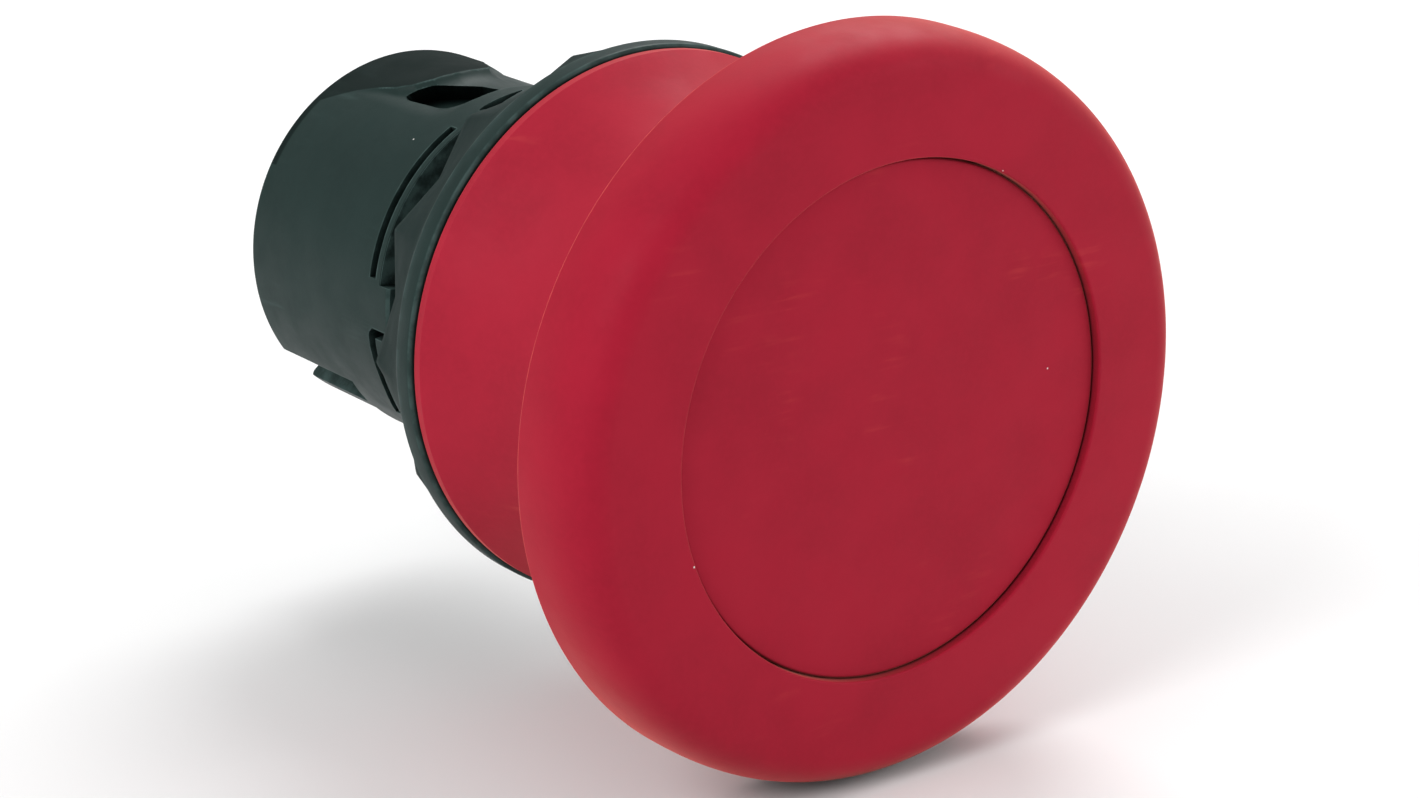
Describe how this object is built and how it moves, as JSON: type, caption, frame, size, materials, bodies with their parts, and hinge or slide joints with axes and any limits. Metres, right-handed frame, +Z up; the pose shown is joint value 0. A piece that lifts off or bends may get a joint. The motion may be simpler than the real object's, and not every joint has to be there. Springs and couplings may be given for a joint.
{
  "type": "emergency stop button",
  "caption": "Mushroom-head emergency stop operator, push to stop and pull to release, with a toothed bezel and a slotted barrel for a round panel hole.",
  "frame": {"origin": "on the button's axis, in the plane where the bezel sits on the panel", "axes": "the head faces -Y, the barrel runs to +Y through the panel, +Z is up, +X is to the right seen from the front"},
  "size_m": [0.04, 0.0463, 0.04],
  "materials": {
    "red_plastic": "satin moulded red thermoplastic",
    "black_plastic": "satin moulded glass-filled plastic",
    "grey_plastic": "satin moulded plastic",
    "steel": "zinc plated",
    "spring_steel": "drawn wire",
    "brass": "turned",
    "rubber": "matt elastomer"
  },
  "bodies": {
    "housing": {"skirt_collar": "red_plastic", "bezel_flange": "black_plastic", "panel_gasket": "rubber", "barrel_body": "black_plastic", "seal_retainer": "brass", "mouth_seal": "rubber", "latch_sleeve": "grey_plastic", "rear_guide": "grey_plastic", "retaining_ring": "spring_steel", "spring_seat": "steel", "return_spring": "spring_steel"},
    "head": {"mushroom_cap": "red_plastic", "face_disc": "red_plastic", "head_screw": "steel", "lock_washer": "steel", "plunger_stem": "grey_plastic", "stem_o_ring": "rubber", "pusher_foot": "grey_plastic", "foot_clip": "steel", "latch_spring_left": "spring_steel", "latch_spring_right": "spring_steel"},
    "latch_left": {"latch_pin_left": "steel"},
    "latch_right": {"latch_pin_right": "steel"}
  },
  "joints": [
    {"name": "head_press", "type": "slide", "parent": "housing", "child": "head", "axis": [0, 1, 0], "range_m": [0, 0.005], "deforming": ["return_spring"]},
    {"name": "pin_left_slide", "type": "slide", "parent": "head", "child": "latch_left", "axis": [-1, 0, 0], "range_m": [0, 0.001], "deforming": ["latch_spring_left"]},
    {"name": "pin_right_slide", "type": "slide", "parent": "head", "child": "latch_right", "axis": [1, 0, 0], "range_m": [0, 0.001], "deforming": ["latch_spring_right"]}
  ],
  "couplings": [
    {"joint": "pin_left_slide", "follows": "head_press", "ratio": 0.2},
    {"joint": "pin_right_slide", "follows": "head_press", "ratio": 0.2}
  ]
}
